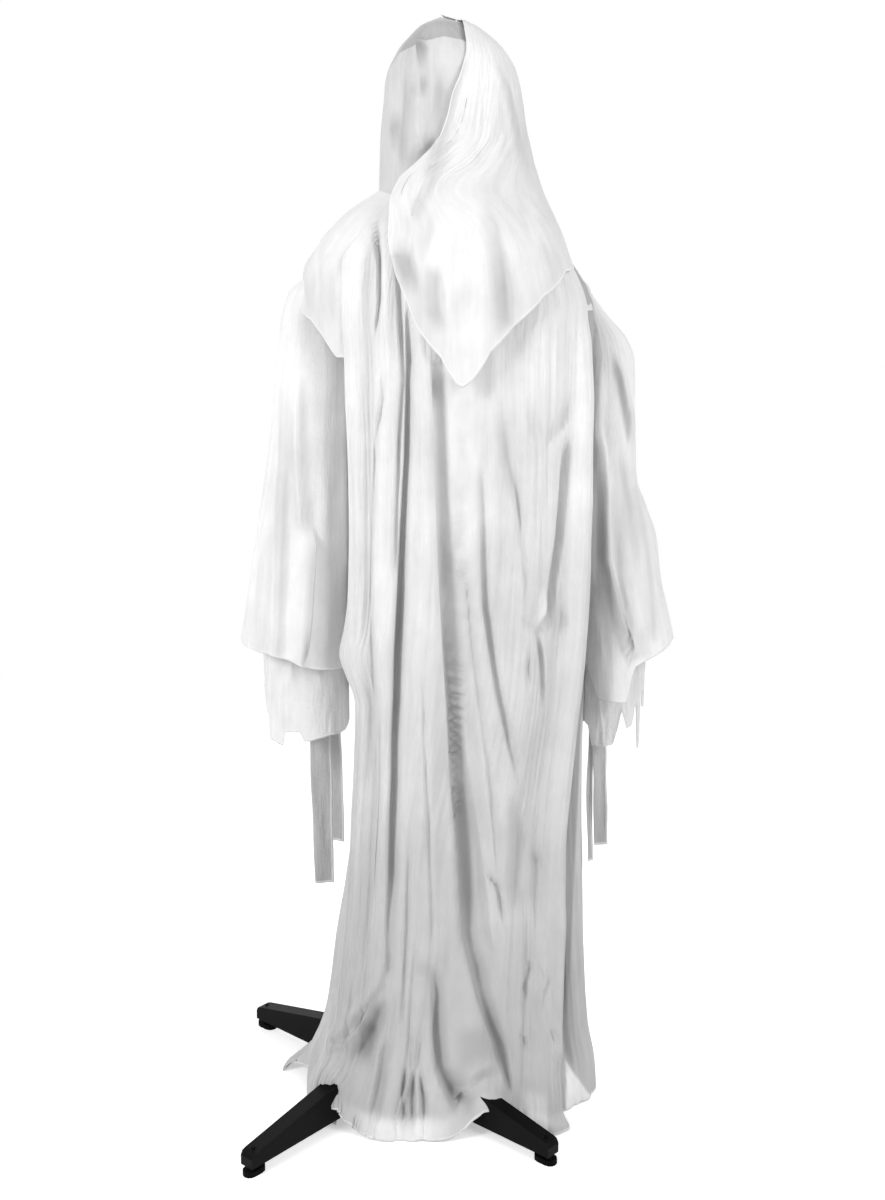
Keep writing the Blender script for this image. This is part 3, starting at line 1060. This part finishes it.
across, down = np.meshgrid(np.linspace(0, 1, CAPE_COLUMNS), np.linspace(0, 1, CAPE_ROWS))
turn = np.radians(-90) + 2 * np.pi * across
z = CAPE_TOP + (stepped(CAPE_HEM, np.degrees(turn)) - CAPE_TOP) * down
x, y = ring(turn, *(between(table, z) for table in (CAPE_LEFT, CAPE_RIGHT, CAPE_FRONT, CAPE_BACK)))
cape_grid = np.stack([x, y, z], axis=2)
depth_in, _ = crease(x, z, CAPE_CREASES)
wave = CAPE_WAVE * ripple(across, down, 26, 3, 91) + 1.0 * ripple(across, down, 90, 16, 92)
wave = eased(-z, -1700, -1560) * wave
cape_grid += outward(cape_grid, 1.0) * (wave - depth_in)[..., None]
cape_grid[:, -1] = cape_grid[:, 0]
cape = cloth("cape_cloth", cape_grid, width=1.5, length=0.34, fold=in_folds(depth_in, wave / CAPE_WAVE))
cape.data.materials.append(veil_gauze)
print("cape:", round(flat_area(cape_grid), 3), "square metres")

# %% [markdown]
# ## The sleeves
# Each sleeve is a wide tube that hangs from the end of the arm shaft and flares to a slanting hem.
# Both come from one function, which takes the widths, the hem and the creases of its side.

# %% Sleeves
SLEEVE_DEPTH = [[780, 114], [912, 106], [1060, 92], [1300, 76], [1462, 60], [1510, 48], [1540, 34],
                [1562, 8]]
SLEEVE_MIDDLE = [[780, -52], [1060, -50], [1300, -40], [1462, -28], [1562, -24]]
LEFT_OUTER = [[780, 420], [912, 396], [1000, 378], [1060, 366], [1180, 342], [1257, 329], [1432, 311],
              [1500, 300], [1534, 286], [1552, 262], [1562, 232]]
LEFT_HEM = [[180, 862], [250, 868], [283, 876], [300, 886], [394, 912], [420, 914]]
LEFT_CREASES = [
    (7, 4, [(270, 1400, 3), (272, 1300, 9), (270, 1200, 12), (266, 1130, 14), (262, 1100, 8)]),
    (6, -10, [(258, 1140, 6), (262, 1060, 26), (270, 960, 30), (282, 862, 30)]),
    (9, 0, [(296, 1420, 4), (300, 1250, 10), (310, 1100, 12), (326, 870, 12)]),
    (12, 0, [(330, 1150, 3), (344, 1000, 10), (352, 880, 12)]),
]
RIGHT_OUTER = [[780, 440], [904, 410], [1000, 386], [1105, 366], [1150, 350], [1197, 332], [1300, 325],
               [1412, 320], [1450, 304], [1490, 268], [1530, 236]]
RIGHT_HEM = [[220, 880], [240, 862], [258, 800], [301, 797], [318, 862], [340, 874], [408, 904],
             [430, 906]]
RIGHT_CREASES = [
    (7, 8, [(252, 1300, 4), (262, 1180, 14), (268, 1060, 20), (290, 960, 24), (322, 866, 26)]),
    (8, 0, [(276, 1440, 4), (292, 1380, 12), (304, 1320, 14), (314, 1250, 6)]),
    (12, 0, [(300, 1260, 3), (330, 1080, 10), (352, 900, 12)]),
    (10, 0, [(250, 1420, 4), (246, 1250, 9), (244, 1000, 10)]),
    (9, 0, [(296, 1120, 3), (306, 1020, 8), (320, 900, 9)]),
]
LEFT, RIGHT = 1.0, -1.0                     # the sign of x on each side
SLEEVE_INNER = {LEFT: 190.0, RIGHT: 230.0}  # how far out the inner side hangs, in mm
SLEEVE_TOP = {LEFT: 1562.0, RIGHT: 1528.0}
SLEEVE_SQUARE = 0.66
SLEEVE_ROWS, SLEEVE_COLUMNS = 130, 210
HEM_READ_AT = 880.0                         # the height at which a hem's table is laid round the tube
FRONT_RAISED = 14.0                         # the right sleeve's hem is this much higher in front
SLEEVE_WAVE, SLEEVE_CREASING = 7.0, 1.4
SLEEVE_DEEPEST = 45.0
print("sleeves hang from", SLEEVE_TOP[LEFT], "and", SLEEVE_TOP[RIGHT], "mm")

# %% [markdown]
# ## Shaping the sleeves
# A sleeve is a closed tube, so its columns run all the way round and the last joins the first. The
# waves are weaker on the inner side, which leaves room for the robe when the arms swing.

# %% Sleeves, shaped
def sleeve_grid(side, outer, hem, creases, seed):
    """One sleeve as a closed tube of points, and how deep in a fold each lies."""
    across, down = np.meshgrid(np.linspace(0, 1, SLEEVE_COLUMNS + 1)[:-1], np.linspace(0, 1, SLEEVE_ROWS))
    turn = np.radians(-90) + 2 * np.pi * across
    inner, top = SLEEVE_INNER[side], SLEEVE_TOP[side]
    low = (between(outer, HEM_READ_AT) - inner) / 2
    reach = low * np.sign(np.cos(turn)) * np.abs(np.cos(turn)) ** SLEEVE_SQUARE
    foot = stepped(hem, inner + low + reach)
    if side == RIGHT:
        foot = foot + FRONT_RAISED * eased(-np.sin(turn), 0.0, 0.6)
    z = top + (foot - top) * down ** 0.92
    half = (between(outer, z) - inner) / 2
    depth = between(SLEEVE_DEPTH, z)
    x, y = ring(turn, half, half, depth, depth, SLEEVE_SQUARE)
    grid = np.stack([side * (inner + half + x), between(SLEEVE_MIDDLE, z) + y, z], axis=2)
    behind = eased(y, 0, 30)
    depth_in, lean = crease(side * grid[..., 0], z, creases)
    free = eased(-z, -1480, -1100)
    outer_side = 0.25 + 0.75 * eased(np.cos(turn), -0.9, -0.2)
    wave = SLEEVE_WAVE * ripple(across, down, 14, 3, seed)
    wave = wave + SLEEVE_CREASING * ripple(across, down, 60, 18, seed + 1)
    wave = free * outer_side * wave
    grid += outward(grid, side) * (wave - depth_in * behind)[..., None]
    grid[..., 0] += side * lean * behind
    return grid, in_folds(depth_in * behind, wave / 8, SLEEVE_DEEPEST)


sleeves = {}
for name, side, outer, hem, creases, seed in (
        ("left_sleeve_cloth", LEFT, LEFT_OUTER, LEFT_HEM, LEFT_CREASES, 101),
        ("right_sleeve_cloth", RIGHT, RIGHT_OUTER, RIGHT_HEM, RIGHT_CREASES, 111)):
    grid, fold = sleeve_grid(side, outer, hem, creases, seed)
    if side == RIGHT:
        grid, fold = grid[:, ::-1], fold[:, ::-1]
    sleeves[name] = cloth(name, grid, closed=True, width=0.62, length=0.72, fold=fold)
    sleeves[name].data.materials.append(sleeve_gauze)
    print(name, round(flat_area(grid), 3), "square metres")

# %% [markdown]
# ## Ragged layers
# On the real object several greyer pieces with torn hems hang below each sleeve, one over another. Here
# one tube stands for those of each side, so that it is one whole sheet. A torn edge is a hem whose
# height jumps from column to column, so its table has steep steps.

# %% Ragged layers
LEFT_RAGS = [[-90, 760], [-50, 748], [-20, 800], [0, 806], [12, 772], [28, 764], [34, 722], [62, 718],
             [66, 742], [84, 744], [88, 728], [150, 738], [170, 744], [200, 752], [230, 730], [270, 760]]
RIGHT_RAGS = [[-90, 756], [-40, 742], [-10, 800], [8, 796], [16, 768], [26, 764], [31, 800], [40, 788],
              [47, 696], [52, 694], [58, 790], [66, 742], [76, 738], [84, 772], [92, 706], [128, 700],
              [136, 742], [180, 750], [230, 734], [270, 756]]
RAG_ROWS, RAG_COLUMNS = 70, 220
RAG_TOP = 1000.0
RAG_INSET = 4.0      # the gap to the sleeve's inner side, in mm
RAG_DEPTH = 84.0     # half the tube's size from front to back
RAG_MIDDLE = -54.0   # how far in front of the spine it hangs
RAG_WAVE, RAG_CREASING = 6.0, 1.6


def rag_grid(side, hem, reach, seed):
    """One ragged layer as a closed tube of points. reach is how far out it comes."""
    across, down = np.meshgrid(np.linspace(0, 1, RAG_COLUMNS + 1)[:-1], np.linspace(0, 1, RAG_ROWS))
    turn = np.radians(-90) + 2 * np.pi * across
    foot = stepped(hem, np.degrees(turn)) + 3.0 * ripple(across, down * 0, 60, 1, seed + 5)
    z = RAG_TOP + (foot - RAG_TOP) * down
    inner = SLEEVE_INNER[side] + RAG_INSET
    half = (reach - inner) / 2
    x, y = ring(turn, half, half, RAG_DEPTH, RAG_DEPTH)
    grid = np.stack([side * (inner + half + x), RAG_MIDDLE + y, z], axis=2)
    wave = RAG_WAVE * pleats(across, down, 20, 2, seed)
    wave = wave + RAG_CREASING * ripple(across, down, 70, 12, seed + 1)
    outer_side = 0.2 + 0.8 * eased(np.cos(turn), -0.9, -0.2)
    grid += outward(grid, side) * ((wave - RAG_WAVE / 2) * outer_side)[..., None]
    return grid


rags = {}
for name, side, hem, reach, seed in (("left_rags", LEFT, LEFT_RAGS, 352.0, 121),
                                     ("right_rags", RIGHT, RIGHT_RAGS, 358.0, 131)):
    grid = rag_grid(side, hem, reach, seed)
    if side == RIGHT:
        grid = grid[:, ::-1]
    rags[name] = cloth(name, grid, closed=True, width=0.5, length=0.28)
    rags[name].data.materials.append(grey_gauze)
    print(name, round(flat_area(grid), 3), "square metres")

# %% [markdown]
# ## Loose strips
# Two torn strips hang from each ragged layer. A strip could be a ribbon on a curve, but a grid gives it
# its uneven width and its slight sway in the same few lines as the other sheets.

# %% Strips
STRIP_ROWS, STRIP_COLUMNS = 90, 14


def strip(name, top, foot, wide, across_way, seed):
    """A narrow sheet that hangs from top to foot, uneven in width, swaying a little and greyer below."""
    beside, down = np.meshgrid(np.linspace(-0.5, 0.5, STRIP_COLUMNS), np.linspace(0, 1, STRIP_ROWS))
    top, foot, way = (np.array(place, float) for place in (top, foot, across_way))
    way = way / np.linalg.norm(way)
    face = np.cross([0.0, 0.0, 1.0], way)
    line = top + (foot - top) * down[..., None]
    sway = 4.0 * ripple(down, down * 0 + 0.5, 5, 1, seed)
    sway = sway + 3.0 * ripple(beside + 0.5, down, 3, 6, seed + 1)
    narrow = 1.0 - 0.12 * eased(down, 0.0, 0.3) + 0.10 * ripple(down, down * 0 + 0.3, 7, 1, seed + 2)
    grid = line + way * (wide * beside * narrow)[..., None] + face * sway[..., None]
    shade = np.full(down.shape, 0.75) + 0.25 * eased(down, 0.3, 1.0)
    length = float(top[2] - foot[2]) * MM
    return cloth(name, grid, thick=1.0, width=wide * MM, length=length, fold=shade), grid


strips = {}
for name, top, foot, wide, way, seed in (
        ("left_strip_long", (250, -10, 800), (246, 10, 440), 42, (1, 0.15, 0), 141),
        ("left_strip_short", (224, -56, 800), (219, -46, 500), 25, (1, -0.4, 0), 151),
        ("right_strip_wide", (-268, -12, 800), (-278, 10, 502), 30, (1, 0.2, 0), 161),
        ("right_strip_narrow", (-256, -20, 800), (-256, 16, 474), 14, (1, 0.5, 0), 171)):
    strips[name], grid = strip(name, top, foot, wide, way, seed)
    strips[name].data.materials.append(grey_gauze)
    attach(strips[name], "arms")
    print(name, round(flat_area(grid), 4), "square metres")

# %% [markdown]
# ## What carries the cloth
# Each other sheet now replaces its plain CAD solid and follows the body that carries it. A sheet that
# crosses a joint bends between two bodies: the hood and the veil at the neck, the sleeves at the
# shoulders.

# %% Joining the cloth to the frame
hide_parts("veil_hood")
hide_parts("veil_hood", "veil_back")
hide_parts("shoulder_cape")
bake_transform(hood)
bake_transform(veil)
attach(cape, "torso")
for side in ("left", "right"):
    one, rag = sleeves[side + "_sleeve_cloth"], rags[side + "_rags"]
    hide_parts(side + "_sleeve")
    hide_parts(side + "_undersleeve")
    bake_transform(one)
    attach(rag, "arms")
print("on the arms:", list(sleeves) + list(rags) + list(strips))
